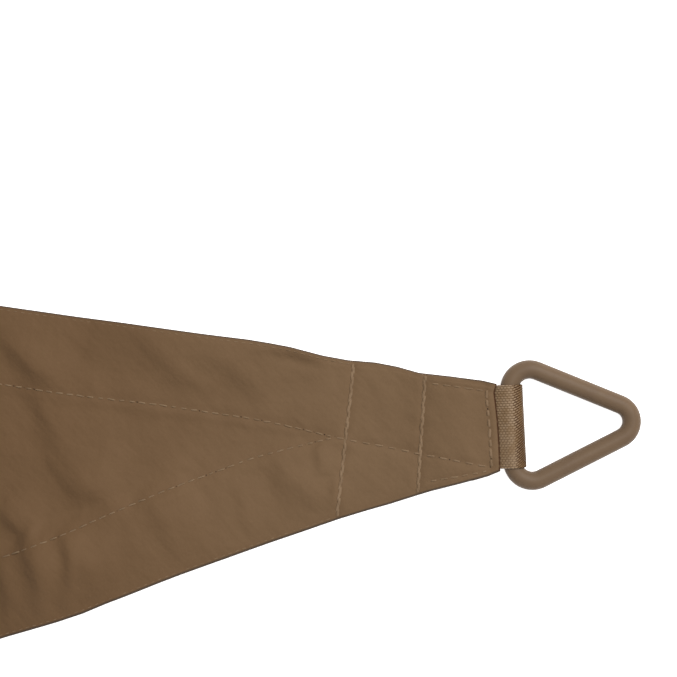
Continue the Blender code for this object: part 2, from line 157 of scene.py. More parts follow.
folds = {
    "settle": 1.0,  # folds lower than this lie nearly flat
    "edgeKeeps": 0.5,  # share of a fold's height that is left at the heavy edge
    "edgeWeight": 150.0,  # how far in from the edge its weight is felt
    "edgeWeightShare": 0.45,  # and no further than this share of the half width
    "steps": 8,
    "fade": 0.75,
    # inward, and how far the front corner's cloth is puffed up there
    "frontPuff": ((75, 0), (110, 1.8), (150, 3.8), (190, 5.5), (262, 0.8), (340, 1.5), (520, 0)),
    # a low ridge under the front corner's left hem, as in the ridges
    "frontRise": ((187, 78), (132, 61), (64, 42), 5.6, 18, 40),
    "ridges": (
        # corner, start, middle, end, height, width on the left and on the right of its run
        ("front", (244, 92), (225, 61), (208, 43), 4.2, 5.2, 18),
        ("front", (220, 42), (208, 12), (194, -11), 1.9, 4.6, 20),
        ("front", (204, 0), (195, -11), (179, -18), 1.9, 5, 14),
        ("front", (219, 14), (209, -3), (200, -19), 1.9, 3.5, 8),
        ("front", (166, 70), (150, 46), (130, 32), 2.8, 7, 22),
        ("front", (139, 58), (125, 44), (105, 26), 2.2, 6, 16),
        ("front", (110, 3), (99, -16), (82, -29), 1.9, 6, 13),
        ("front", (88, 1), (86, -6), (86, -14), 1.7, 3, 6),
        ("front", (172, -8), (163, -27), (159, -52), 2.3, 6, 18),
        ("front", (118, 2), (104, -18), (90, -36), 1.6, 16, 16),
        ("front", (236, -28), (226, -46), (229, -76), 5.9, 6.5, 16),
        ("front", (215, -27), (210, -42), (217, -68), 3.4, 3.6, 8),
        ("front", (204, -38), (202, -48), (205, -60), 2.2, 4, 8),
        ("front", (243, -8), (236, -20), (226, -27), 3.6, 5, 14),
        ("front", (246, -36), (242, -56), (246, -74), 4.6, 6, 18),
        ("front", (196, -16), (192, -52), (198, -96), 5.5, 38, 44),
        ("front", (128, -11), (125, -26), (121, -39), 1.1, 3.5, 6),
        ("front", (113, 51), (94, 48), (77, 41), 3.2, 3.5, 5),
        ("front", (60, 34), (55, 24), (51, 14), 1.0, 4, 8),
        ("front", (43, 35), (38, 30), (34, 24), 1.0, 3, 6),
        ("front", (78.5, -13), (80.5, -24), (81.5, -34), 1.6, 3, 6),
        ("front", (290, 60), (330, 30), (400, 20), 7, 24, 20),
        ("front", (280, -40), (340, -60), (430, -50), 8, 26, 22),
        ("front", (330, 90), (420, 75), (540, 90), 8, 28, 24),
        ("front", (420, 10), (560, 15), (760, -10), 14, 46, 38),
        ("front", (480, -110), (640, -130), (860, -190), 15, 50, 46),
        ("front", (560, 110), (720, 130), (980, 200), 16, 56, 50),
        ("front", (900, -20), (1100, 30), (1420, 20), 20, 84, 74),
        ("front", (980, 260), (1080, 160), (1120, -40), 13, 70, 80),
        ("left", (110, 8), (190, 14), (320, 6), 5, 16, 14),
        ("left", (150, -22), (250, -36), (400, -50), 7, 20, 18),
        ("left", (330, 40), (470, 58), (700, 60), 13, 38, 34),
        ("left", (420, -90), (620, -100), (880, -60), 15, 48, 54),
        ("left", (760, 120), (960, 180), (1260, 180), 18, 78, 70),
        ("left", (820, -240), (1020, -170), (1300, -200), 16, 75, 80),
        ("left", (1000, 10), (1200, -20), (1500, 40), 15, 85, 75),
        ("right", (120, -6), (210, -14), (360, -10), 5, 17, 15),
        ("right", (160, 26), (270, 40), (420, 70), 7, 22, 18),
        ("right", (360, -44), (520, -70), (760, -60), 14, 42, 46),
        ("right", (480, 90), (680, 130), (960, 110), 15, 52, 46),
        ("right", (800, -160), (1020, -140), (1300, -220), 18, 80, 72),
        ("right", (900, 260), (1080, 200), (1360, 230), 15, 75, 82),
        ("middle", (330, 520), (190, 330), (160, 120), 15, 85, 75),
        ("middle", (-640, 60), (-480, -60), (-330, -330), 16, 85, 90),
        ("middle", (-560, 330), (-330, 400), (-60, 330), 12, 85, 78),
        ("middle", (240, -560), (170, -380), (40, -260), 12, 80, 74),
    ),
    "creases": (
        # of the front corner: start, middle, end, depth, width on each side
        ((184, 26), (167, 20), (150, 11), 0.4, 5, 5),
        ((111, 49), (97, 45), (80, 37), 1.2, 3, 3),
        ((232, 45), (225, 30), (226, 10), 1.4, 8, 6),
        ((84, 23), (80, 15), (76, 9), 0.5, 3, 3),
        ((205, 60), (190, 52), (180, 40), 0.9, 7, 6),
        ((152, -2), (140, 6), (120, 12), 0.5, 6, 6),
        ((146, -12), (142, -26), (144, -40), 0.8, 5, 4),
        ((113, -6), (112, -18), (106, -32), 0.9, 5, 4),
        ((190, -26), (186, -38), (188, -52), 0.9, 5, 5),
        ((70, 17), (62, 11), (53, 16), 0.45, 4, 4),
        ((70, -6), (64, -16), (60, -26), 0.5, 4, 4),
        ((30, 12), (24, 0), (27, -14), 0.4, 5, 5),
    ),
}


def foldRoute(start, middle, end):
    start, middle, end = (np.array(point, float) for point in (start, middle, end))
    pull = 2 * middle - (start + end) / 2
    t = np.linspace(0, 1, folds["steps"] + 1)[:, None]
    return (1 - t) ** 2 * start + 2 * t * (1 - t) * pull + t ** 2 * end


def foldHeight(u, v, route, height, leftWidth, rightWidth):  # a soft ridge that dies away at both ends
    nearest = np.full(u.shape, np.inf)
    share = np.zeros(u.shape)
    width = np.full(u.shape, float(leftWidth))
    for i in range(len(route) - 1):
        run = route[i + 1] - route[i]
        du, dv = u - route[i][0], v - route[i][1]
        t = np.clip((du * run[0] + dv * run[1]) / (run @ run), 0, 1)
        away = np.hypot(du - t * run[0], dv - t * run[1])
        closer = away < nearest
        nearest = np.where(closer, away, nearest)
        share = np.where(closer, (i + t) / (len(route) - 1), share)
        width = np.where(closer, np.where(run[0] * dv > run[1] * du, leftWidth, rightWidth), width)
    return height * (4 * share * (1 - share)) ** folds["fade"] * np.exp(-(nearest / width) ** 2)


def liftAt(x, y, fromEdge, weighed):  # height of the cloth's underside over the ground
    plans = {name: toCorner(name, x, y) for name in plan["corners"]}
    plans["middle"] = (x, y)
    total = 0
    for name, start, middle, end, *form in folds["ridges"]:
        total = total + foldHeight(*plans[name], foldRoute(start, middle, end), *form)
    for start, middle, end, depth, *widths in folds["creases"]:
        total = total - foldHeight(*plans["front"], foldRoute(start, middle, end), depth, *widths)
    total = total * (folds["edgeKeeps"] + (1 - folds["edgeKeeps"]) * ease(fromEdge / weighed))
    total = total + readTable(folds["frontPuff"], 1, plans["front"][0])
    start, middle, end, *form = folds["frontRise"]
    total = total + foldHeight(*plans["front"], foldRoute(start, middle, end), *form)
    total = np.maximum(total, 0)
    lift = total * total / (total + folds["settle"])
    for name in plan["corners"]:
        start = layers["pocketDepth"]
        lift = lift + layers["endLift"] * (1 - ease((plans[name][0] - start)
                                                    / (layers["endLiftReach"] - start)))
    return lift


def thicknessAt(inward, fromEdge):
    hem = 1 - ease((fromEdge - layers["hemWidth"]) / layers["hemStep"])
    corner = 1 - ease((inward - layers["cornerSeam"]) / layers["cornerStep"])
    end = 1 - ease((inward - layers["pocketDepth"]) / layers["endStep"])
    thick = layers["cloth"] + (layers["hem"] - layers["cloth"]) * np.maximum(hem, corner)
    thick = thick + (layers["corner"] - layers["hem"]) * corner
    return thick + (endThick - layers["corner"]) * end


# seams, each as how far a point of the cloth is from it

seams = {
    "wander": (  # inward, left seam, right seam: how the front corner's hem seams stray
        (0, 0.7, 0), (40, 1.3, 0), (78, 0.5, 0.3), (95, 0, 1.0), (120, -1.0, 2.8),
        (160, -1.3, 2.8), (196, -0.5, 1.7), (245, 0, -0.4), (400, 0, 0),
    ),
    "cross": {  # inward at the middle, lean and bow of the far and the near cross seam
        "front": ((73.2, -8.4, 1.0), (36.6, -4.65, 0.35)),
        "left": ((74.0, 2.5, 0.6), (36.0, 1.4, -0.3)),
        "right": ((73.4, -1.8, -0.5), (36.4, -1.0, 0.4)),
    },
    "rightHemEnds": 78.0,  # the right hem's seam goes under the left hem here
    "topstitch": 1.8,
    "endAt": 4.4,  # inward, for the end of the stitched box
    "endReach": 0.9,  # share of the half width that its groove takes up
    "leftAt": 4.5,  # the box's left side, in from the left edge
    "rightAt": (2.0, 0.085),  # in from the right edge at the end, and more for each mm inward
    "fades": {"lip": 3.0, "hem": 3.0, "box": 2.0, "end": 0.1, "pucker": 120.0},  # over these lengths
    "grooveDepth": 0.45,
    "grooves": {  # share of the depth, and width
        "hem": (1.0, 1.9), "cross": (1.2, 1.9), "topstitch": (0.7, 0.8),
        "boxEnd": (0.35, 1.2), "boxLeft": (0.8, 1.4), "boxRight": (0.8, 1.2),
    },
    "puckerDepth": 0.22,
    "puckerWidth": 6.08,
    "puckers": {  # share of the depth, the wave, and how far and on which wave it strays
        "left": (1.0, 3.1, 1.7, 17), "right": (1.0, 3.7, 2.0, 13),
        "far": (0.8, 2.3, 1.5, 9), "near": (0.8, 2.6, 1.5, 7),
    },
}

sewing = {
    "halfWidth": 0.46,
    "halfHeight": 0.30,
    "above": 0.10,  # how far a stitch's middle line stands over the groove
    "dip": 0.62,  # and how far its ends go down
    "taper": 0.25,  # share of its width and height that a stitch loses at its ends
    "stray": 3.0,  # degrees
    "seed": 11,
    "edge": {"pitch": 3.6, "length": 3.3, "wide": 0.5, "tall": 0.6},
    "hem": {"pitch": 5.0, "length": 4.5, "wide": 0.98, "tall": 0.95, "uneven": 0.1},
    "middle": {"pitch": 6.2, "length": 4.4, "wide": 1.0, "tall": 1.0},
    "cross": {"pitch": 5.2, "length": 4.9, "wide": 1.65, "tall": 1.15, "uneven": 0.08},
    "box": {"pitch": 5.2, "length": 4.2, "wide": 0.9, "tall": 0.9, "uneven": 0.2},
    "boxEnd": {"pitch": 4.6, "length": 4.6, "wide": 1.6, "tall": 1.0, "uneven": 0.15},
    "usualUneven": 0.05,
    "lengths": (0.5, 1.2),  # the shortest and the longest stitch, as shares of the usual length
    "passApart": 0.22,  # between a cross seam's two passes, to each side
    "passPhase": 0.02,
    "beside": 0.9,  # how far beside a stitch the cloth's slope is read
    "fineReach": 300.0,  # inward, how far a long seam is followed in fine steps
    "fineStep": 1.0,
    "coarseStep": 6.0,
    "crossReach": 0.965,  # share of the half width that a cross seam takes up
    "crossPoints": 160,
    "endReach": 0.83,  # and the box's end
    "endPoints": 60,
    "leftSide": (5.5, 33.0),  # inward, where the box's sides start and end
    "rightSide": (6.5, 37.0),
    "middleRun": (5.0, 80.0),  # inward, the left hem's heavier stitches
    "pastCross": 1.5,  # from a cross seam to the edge's first stitch
}


def seamOffsets(corner, row, share):
    half = halfWidthOf(row)
    left, right = ((1 + side * share) * half - layers["hemWidth"] for side in (-1, 1))
    if corner == "front":
        left = left - readTable(seams["wander"], 1, row)
        right = right - readTable(seams["wander"], 2, row)
    far, near = (row - (at + lean * share + bow * share ** 2)
                 for at, lean, bow in seams["cross"][corner])
    return {"left": left, "right": right, "far": far, "near": near}


def groove(offset, width):
    return np.exp(-(offset / width) ** 2)


def rightSideAt(row):  # of the stitched box, in from the right edge
    return seams["rightAt"][0] + seams["rightAt"][1] * row


def seamRelief(corner, row, share):  # how far the stitching draws the cloth's upper face down
    off, fades = seamOffsets(corner, row, share), seams["fades"]
    half = halfWidthOf(row)
    along, across = alongOf(row), share * half
    beyond = ease((row - seams["rightHemEnds"]) / fades["hem"])
    boxed = ease((seams["cross"][corner][1][0] - row) / fades["box"])
    ended = ease((seams["endReach"] - np.abs(share)) / fades["end"])
    dents = (  # kind, how far off its seam is, and how much of it there is here
        ("hem", off["left"], 1), ("hem", off["right"], beyond),
        ("cross", off["far"], 1), ("cross", off["near"], 1),
        ("topstitch", (1 - np.abs(share)) * half - seams["topstitch"], 1),
        ("boxEnd", row - seams["endAt"], ended),
        ("boxLeft", (1 - share) * half - seams["leftAt"], boxed),
        ("boxRight", (1 + share) * half - rightSideAt(row), boxed),
    )
    pull = 0
    for kind, away, shown in dents:
        depth, width = seams["grooves"][kind]
        pull = np.maximum(pull, depth * groove(away, width) * shown)
    runs = 0
    for name, (depth, wave, stray, strayWave) in seams["puckers"].items():
        run = along if name in ("left", "right") else across
        shown = beyond if name == "right" else 1
        runs = runs + (depth * groove(off[name], seams["puckerWidth"]) * shown
                       * np.sin(run / wave + stray * np.sin(run / strayWave)))
    plain = ease((edgeHalfLength - along) / fades["pucker"])  # the corners' seams meet without a jump
    return seams["grooveDepth"] * pull + seams["puckerDepth"] * runs * plain


def clothAt(corner, row, share, seamed=True):  # x, y, and the heights of both faces away from the edge
    inward, across = cornerPlan(corner, row, share)
    at = plan["corners"][corner]
    bowed = at["endShift"] + at["endBow"] * (across / (plan["endWidth"] / 2)) ** 2
    bowed = bowed - at["endEar"] * ease((across - plan["earFrom"]) / plan["earWidth"])
    inward = inward + bowed * ease(1 - inward / layers["pocketDepth"])
    x, y = toSail(corner, inward, across)
    half = halfWidthOf(row)
    fromEdge = (1 - np.abs(share)) * half
    weighed = np.minimum(folds["edgeWeight"], folds["edgeWeightShare"] * half)
    under = liftAt(x, y, fromEdge, weighed)
    over = under + thicknessAt(inward, fromEdge)
    if seamed:
        over = over - seamRelief(corner, row, share) * ease(row / seams["fades"]["lip"])
    spread = readTable(layers["lipOpen"], 1, row)
    return x, y, under - spread, over + spread


# finishing a piece

def placeOnFrame(points):  # from millimetres about the sail's middle to the frame's metres
    return points * mm + np.array((sailMiddle.x, sailMiddle.y, 0))


def addToScene(name, data, place=(0, 0, 0), turn=(0, 0, 0)):
    thing = bpy.data.objects.new(name, data)
    thing.location, thing.rotation_euler = place, turn
    bpy.context.scene.collection.objects.link(thing)
    return thing


def finishPiece(name, mesh, material, replaces=()):
    mesh.shade_smooth()
    mesh.materials.append(material)
    piece = addToScene(name, mesh)
    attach(piece, "root")
    if replaces:
        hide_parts(*replaces)
    print("made", name, len(mesh.polygons), "faces")
    return piece


def meshOf(bm, name):
    made = bpy.data.meshes.new(name)
    bm.to_mesh(made)
    bm.free()
    return made


def closedMesh(bm, name):
    bmesh.ops.recalc_face_normals(bm, faces=bm.faces)
    return meshOf(bm, name)


def joinParts(parts, apart):  # their edges meet, and become one where they are no further apart
    whole = bmesh.new()
    for part in parts:
        whole.from_mesh(part)
        bpy.data.meshes.remove(part)
    bmesh.ops.remove_doubles(whole, verts=whole.verts, dist=apart * mm)
    return whole


def movePoints(mesh, points):
    mesh.vertices.foreach_set("co", np.ascontiguousarray(points, np.float32).ravel())
    mesh.update()


def addMap(mesh, name, values):  # two for each corner of each face
    layer = mesh.uv_layers.new(name=name)
    layer.data.foreach_set("uv", np.ascontiguousarray(values, np.float32).ravel())


# the sail's middle, from where the cloth's solid lies in the frame

def endPoints():
    share = np.array((-1.0, 1.0))
    return np.concatenate([np.stack(toSail(name, *cornerPlan(name, np.zeros(2), share)), axis=-1)
                           for name in plan["corners"]])


drawnEnds = endPoints()
clothLow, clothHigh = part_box("sail")
drawnMiddle = (drawnEnds.min(axis=0) + drawnEnds.max(axis=0)) / 2 * mm
sailMiddle = (clothLow + clothHigh) / 2 - Vector((*drawnMiddle, 0))
sailMiddle.z = 0
print("sail's middle is at", [round(c, 5) for c in sailMiddle])


# materials

class Wire:  # one socket, so that shader maths can be written as a sum
    def __init__(self, finish, socket):
        self.finish = finish
        self.socket = socket

    def __add__(self, other):
        return self.finish.maths("ADD", self, other)

    def __sub__(self, other):
        return self.finish.maths("SUBTRACT", self, other)

    def __rsub__(self, other):
        return self.finish.maths("SUBTRACT", other, self)

    def __mul__(self, other):
        return self.finish.maths("MULTIPLY", self, other)

    def __truediv__(self, other):
        return self.finish.maths("DIVIDE", self, other)

    def __pow__(self, other):
        return self.finish.maths("POWER", self, other)

    def __abs__(self):
        return self.finish.maths("ABSOLUTE", self)

    __radd__ = __add__
    __rmul__ = __mul__


class Finish:
    def __init__(self, name, **values):
        self.material = bpy.data.materials.new(name)
        self.material.use_nodes = True
        self.tree = self.material.node_tree
        self.shader = self.tree.nodes["Principled BSDF"]
        for socket, value in values.items():
            self.feed(self.shader.inputs[socket], value)

    def feed(self, socket, value):
        if isinstance(value, Wire):
            self.tree.links.new(value.socket, socket)
        else:
            socket.default_value = value

    def node(self, kind, settings, inputs, *outputs):  # settings first, then values and links
        made = self.tree.nodes.new(kind)
        for name, value in settings.items():
            setattr(made, name, value)
        for name, value in inputs.items():
            self.feed(made.inputs[name], value)
        wires = [Wire(self, made.outputs[name]) for name in outputs or (0,)]
        return wires[0] if len(wires) == 1 else wires

    def maths(self, operation, *values):
        return self.node("ShaderNodeMath", {"operation": operation}, dict(enumerate(values)))

    def mapTo(self, value, low, high, start=0.0, end=1.0):  # an eased ramp between two values
        return self.node("ShaderNodeMapRange", {"interpolation_type": "SMOOTHSTEP"},
                         {"Value": value, "From Min": low, "From Max": high,
                          "To Min": start, "To Max": end})

    def noise(self, where, scale, detail=2.0, roughness=0.5):
        return self.node("ShaderNodeTexNoise", {}, {"Vector": where, "Scale": scale, "Detail": detail,
                                                    "Roughness": roughness}, "Fac")

    def objectPlace(self):
        return self.node("ShaderNodeTexCoord", {}, {}, "Object")

    def mapped(self, where, turn=0.0, scale=(1, 1, 1)):
        return self.node("ShaderNodeMapping", {}, {"Vector": where, "Rotation": (0, 0, math.radians(turn)),
                                                   "Scale": scale})

    def parts(self, where):
        return self.node("ShaderNodeSeparateXYZ", {}, {0: where}, 0, 1, 2)

    def uv(self, name):
        return self.parts(self.node("ShaderNodeUVMap", {"uv_map": name}, {}))[:2]

    def mixed(self, factor, first, second, blend="MIX"):  # of two colours
        return self.node("ShaderNodeMix", {"data_type": "RGBA", "blend_type": blend},
                         {0: factor, 6: first, 7: second}, 2)

    def surface(self, colour, roughness, height):  # height in metres
        self.feed(self.shader.inputs["Base Color"], colour)
        self.feed(self.shader.inputs["Roughness"], roughness)
        normal = self.node("ShaderNodeBump", {}, {"Height": height, "Strength": 1.0, "Distance": 1.0})
        self.feed(self.shader.inputs["Normal"], normal)
        return self.material


clothLook = {
    "colour": (0.132, 0.0785, 0.0385, 1),
    "deep": (0.105, 0.0605, 0.0280, 1),
    "field": (0.885, 0.815, 0.725, 1),  # painted shade: darkens and saturates the cloth away from each corner's end, as if the light fell off there
    "fieldFrom": (0.04, 0.24),  # metres inward
    # painted shade along the rolled edges
    "edgeShade": (0.052, 0.034, 0.021, 1),
    "edgeShadeWidth": (0.00030, 0.00095),
    "lowerEdgeShade": 0.0005,  # painted shade: more width for the right edge, which faces away from the light
    # painted shadow along the cloth's end, where the webbing leaves it
    "endShadow": (0.038, 0.012, 0.001, 1),
    "endShadowWidth": (0.00055, 0.00110),
    "yarn": 0.00037,  # metres from one yarn to the next
    "weaveTurn": 3.0,
    "weaveHeight": 0.00003,
    "patches": 26.0,  # noise scale, and for the next three the height in metres too
    "grain": (650.0, 0.00004),
    "rumples": (90.0, 0.0009),
    "streakTurn": 52.0,
    "streaks": ((30, 150, 30), 0.0005),
    "shadeParts": (0.6, 0.12, 0.1),  # shares of patches, grain and streaks
    "shadeSpan": (0.25, 0.65),
    "shadeDepth": 0.55,
    "shadeFrom": 0.10,
    "weaveShade": 0.10,
    "roughness": 0.72,
    "sheen": 0.02,
    "shine": 0.22,
    "prick": (0.030, 0.015, 0.007, 1),
    "prickSize": 0.00045,
    "prickDepth": 0.0002,
    "crossPricks": 1.3,  # strength
    "tipPricks": 1.2,
    "tipPricksTo": (0.030, 0.026),  # metres inward, where they thin out
    "prickGaps": (170.0, 0.50, 0.62),  # noise scale and limits: some holes have closed again
    "tipGaps": (130.0, 0.53, 0.58),
}


def pricksAlong(look, away, along, kind):  # the needle's holes, where two stitches of a seam meet
    between = look.maths("PINGPONG", along, sewing[kind]["pitch"] * mm / 2)
    apart = (away * away + between * between) ** 0.5
    return look.mapTo(apart, clothLook["prickSize"] * 0.4, clothLook["prickSize"], 1.0, 0.0)


def patchy(look, place, scale, low, high):
    return look.mapTo(look.noise(place, scale), low, high)


def clothFinish():
    look = Finish("sailCloth", **{"Sheen Weight": clothLook["sheen"], "Sheen Roughness": 0.5,
                                  "Specular IOR Level": clothLook["shine"]})
    place = look.objectPlace()
    x, y, _ = look.parts(look.mapped(place, turn=clothLook["weaveTurn"]))
    turn = math.pi / clothLook["yarn"]
    weave = look.maths("SINE", x * turn) * look.maths("SINE", y * turn)
    grainScale, grainHeight = clothLook["grain"]
    rumpleScale, rumpleHeight = clothLook["rumples"]
    streakScale, streakHeight = clothLook["streaks"]
    grain = look.noise(place, grainScale, detail=2)
    patches = look.noise(place, clothLook["patches"], detail=4, roughness=0.6)
    rumples = look.noise(place, rumpleScale, detail=3, roughness=0.55)
    turned = look.mapped(place, turn=clothLook["streakTurn"])
    streaks = look.noise(look.mapped(turned, scale=streakScale), 1.0, detail=2)
    patchShare, grainShare, streakShare = clothLook["shadeParts"]
    shade = patches * patchShare + grain * grainShare + streaks * streakShare
    shade = look.mapTo(shade, *clothLook["shadeSpan"]) * clothLook["shadeDepth"] + clothLook["shadeFrom"]
    shade = shade - weave * clothLook["weaveShade"]
    colour = look.mixed(shade, clothLook["colour"], clothLook["deep"])
    along, fromEdge = look.uv("run")
    # painted shade: the cloth darkens away from each corner's end, standing in for light falling off
    falloffShaded = look.mixed(1.0, colour, clothLook["field"], "MULTIPLY")
    colour = look.mixed(look.mapTo(along, *clothLook["fieldFrom"]), colour, falloffShaded)
    # needle holes
    left, right = look.uv("hems")
    far, near = look.uv("crossings")
    ended, boxed = look.uv("ends")
    across = (right - left) * 0.5
    hemEnd = seams["rightHemEnds"]
    beyond = look.mapTo(along, hemEnd * mm, (hemEnd + seams["fades"]["hem"]) * mm)
    hemmed = pricksAlong(look, left, along, "hem") + pricksAlong(look, right, along, "hem") * beyond
    crossed = pricksAlong(look, far, across, "cross") + pricksAlong(look, near, across, "cross")
    atTip = pricksAlong(look, ended, across, "boxEnd") + pricksAlong(look, boxed, along, "box")
    atTip = atTip * look.mapTo(along, *clothLook["tipPricksTo"]) * clothLook["tipPricks"]
    pricks = (hemmed + crossed * clothLook["crossPricks"]) * patchy(look, place, *clothLook["prickGaps"])
    pricks = pricks + atTip * patchy(look, place, *clothLook["tipGaps"])
    colour = look.mixed(look.maths("MINIMUM", pricks, 1.0), colour, clothLook["prick"])
    # painted shade: dark lines along the rolled edges, wider on the right edge
    lower = look.mapTo(across, -0.001, 0.001, 1.0, 0.0)
    edgeShade = look.mapTo(fromEdge - lower * clothLook["lowerEdgeShade"], *clothLook["edgeShadeWidth"], 0.9, 0.0)
    colour = look.mixed(edgeShade, colour, clothLook["edgeShade"])
    # painted shadow: a dark line along the cloth's end where the webbing comes out, patchy with the grain
    endShadow = look.mapTo(along, *clothLook["endShadowWidth"], 1.0, 0.0)
    endShadow = endShadow * look.mapTo(grain, 0.30, 0.50, 0.55, 1.0)
    colour = look.mixed(endShadow, colour, clothLook["endShadow"])
    height = weave * clothLook["weaveHeight"] + grain * grainHeight + rumples * rumpleHeight
    height = height - pricks * clothLook["prickDepth"] + streaks * streakHeight
    return look.surface(colour, clothLook["roughness"] + patches * 0.08 + weave * 0.04, height)


threadLook = {
    "colour": (0.220, 0.143, 0.080, 1),
    "worn": (0.152, 0.093, 0.047, 1),
    # painted shade for the grooves between the plies
    "groove": (0.145, 0.091, 0.049, 1),
    "twist": 0.00055,  # metres from one ply to the next
    "plyHeight": 0.00008,
    "roughness": 0.62,
    "sheen": 0.03,
    "shine": 0.2,
    "wear": (0.40, 0.62),
    "wearScale": 190.0,
}


def threadFinish():
    look = Finish("sewingThread", **{"Sheen Weight": threadLook["sheen"],
                                     "Specular IOR Level": threadLook["shine"]})
    u, v = look.uv("wrap")  # along the stitch in metres, and once round it
    ply = look.maths("SINE", (u / threadLook["twist"] + v) * (2 * math.pi)) * 0.5 + 0.5
    worn = patchy(look, look.objectPlace(), threadLook["wearScale"], *threadLook["wear"])
    colour = look.mixed(worn, threadLook["colour"], threadLook["worn"])
    # painted shade: the thread is darker in the grooves of its twist
    return look.surface(look.mixed(ply ** 1.5, threadLook["groove"], colour),
                        threadLook["roughness"] - ply * 0.12, ply * threadLook["plyHeight"])


webbingLook = {
    "colour": (0.236, 0.160, 0.095, 1),
    # used for random wear in patches, and as painted shade where the strap turns over the bar
    "worn": (0.127, 0.069, 0.025, 1),
    # painted shade for the weave's hollows
    "hollow": (0.036, 0.013, 0.002, 1),
    # painted shade for where the strap turns over the bar's far side
    "turned": (0.087, 0.061, 0.041, 1),
    "opened": (0.0045, 0.0095),  # metres along from the bend's outermost line
    "turnedShadeTo": (0.0016, 0.0036),
    "yarn": 0.00022,
    "yarnLean": 900.0,
    "yarnHeight": 0.00002,
    "flatGaps": 0.38,  # how far the gaps show where the strap lies flat
    "gapSpan": (0.08, 0.55),
    "openedShade": 0.75,
    "patches": 220.0,
    "patchSpan": (0.35, 0.7),
    "patchWear": 0.45,
    "roughness": 0.60,
    "sheen": 0.01,
    "shine": 0.16,
}


def webbingFinish():
    look = Finish("webbing", **{"Sheen Weight": webbingLook["sheen"],
                                "Specular IOR Level": webbingLook["shine"]})
    u, v = look.uv("weave")  # across the strap and along it from its bend, in metres
    fromBend, halfStrap = abs(v), strap["width"] / 2 * mm
    leftLean, rightLean = strap["lean"]
    lean = look.mapTo(u, -halfStrap, halfStrap, rightLean, leftLean)
    lean = lean * look.maths("MINIMUM", fromBend, strap["leanReach"] * mm) / mm
    rib = u / (strap["rib"] * mm) + strap["width"] / strap["rib"] / 2 + lean
    swell = abs(look.maths("SINE", rib * math.pi))
    turns = v / (strap["float"] * mm) + look.maths("FLOOR", rib) * 0.5
    step = abs(look.maths("SINE", turns * math.pi)) ** strap["stepSwell"]
    opened = look.mapTo(fromBend, *webbingLook["opened"], 1.0, 0.0)
    closed = (1 - step) * (1 - opened * strap["openedShare"])
    gaps = (1 - swell * (1 - closed)) * (opened + webbingLook["flatGaps"])
    strands = look.maths("SINE", v * (2 * math.pi / webbingLook["yarn"]) + u * webbingLook["yarnLean"])
    strands = strands * 0.5 + 0.5
    # painted shade: the gaps between ribs and floats are darkened, most where the weave opens over the bar
    shade = look.mapTo(gaps, *webbingLook["gapSpan"], 1.0, 0.0)
    # painted shade: the strap darkens where it turns over the bar
    colour = look.mixed(opened * webbingLook["openedShade"], webbingLook["colour"], webbingLook["worn"])
    colour = look.mixed(shade, webbingLook["hollow"], colour)
    # painted shade: a dark band along the bend's outermost line, where the strap turns away
    turned = look.mapTo(fromBend, *webbingLook["turnedShadeTo"], 0.9, 0.0)
    colour = look.mixed(turned, colour, webbingLook["turned"])
    patches = look.noise(look.objectPlace(), webbingLook["patches"], detail=3)
    worn = look.mapTo(patches, *webbingLook["patchSpan"]) * webbingLook["patchWear"]
    colour = look.mixed(worn, colour, webbingLook["worn"])
    return look.surface(colour, webbingLook["roughness"] - shade * 0.2 + strands * 0.08,
                        strands * webbingLook["yarnHeight"])


paintLook = {
    "colour": (0.123, 0.081, 0.049, 1),
    "shade": (0.116, 0.076, 0.047, 1),
    "shine": 0.09,
    "roughness": 0.38,
    "pebbles": (900.0, 0.00003),  # noise scale, and height in metres
    "sag": (120.0, 0.00025),
    "shadeSpan": (0.35, 0.7),
}


def paintFinish():
    look = Finish("ringPaint", **{"Metallic": 0.0, "Specular IOR Level": paintLook["shine"]})
    place = look.objectPlace()
    pebbleScale, pebbleHeight = paintLook["pebbles"]
    sagScale, sagHeight = paintLook["sag"]
    pebbles = look.noise(place, pebbleScale, detail=2)
    sag = look.noise(place, sagScale, detail=3)
    shade = look.mapTo(sag, *paintLook["shadeSpan"])
    colour = look.mixed(shade, paintLook["colour"], paintLook["shade"])
    return look.surface(colour, paintLook["roughness"] + pebbles * 0.12,
                        pebbles * pebbleHeight + sag * sagHeight)


# the cloth

clothMesh = {
    "rounding": (0.0, 0.06, 0.25, 0.6, 1.0),  # from the edge, where the rolled edge turns over
    "edgeRound": 1.3,
    "hemColumns": (1.8, 2.5, 3.6, 5.5, 8, 11, 14, 17, 20, 23, 26, 29, 32, 34.5, 36.3, 37.5, 38.5,
                   39.5, 40.7, 42.5),
    "fieldColumns": 21,
    "evenBelow": 60.0,  # half width under which the columns are even
    "hemAbove": 100.0,
    "noseAngles": (-60, -20, 20, 60),
    "flapRows": (0.5, 1.0, 1.7, 2.4, 3.0, 3.6, 4.2, 4.9, 5.6, 6.5, 8.0, 11.0),
    "rows": {  # even steps, each as far as it stays, then the growth and the widest step
        "front": (((94, 1.0), (262, 2.0)), 1.08, 36.0),
        "left": (((20, 3.0), (100, 5.0)), 1.10, 36.0),
        "right": (((20, 3.0), (100, 5.0)), 1.10, 36.0),
    },
    "apart": 0.002,  # points nearer than this become one
}


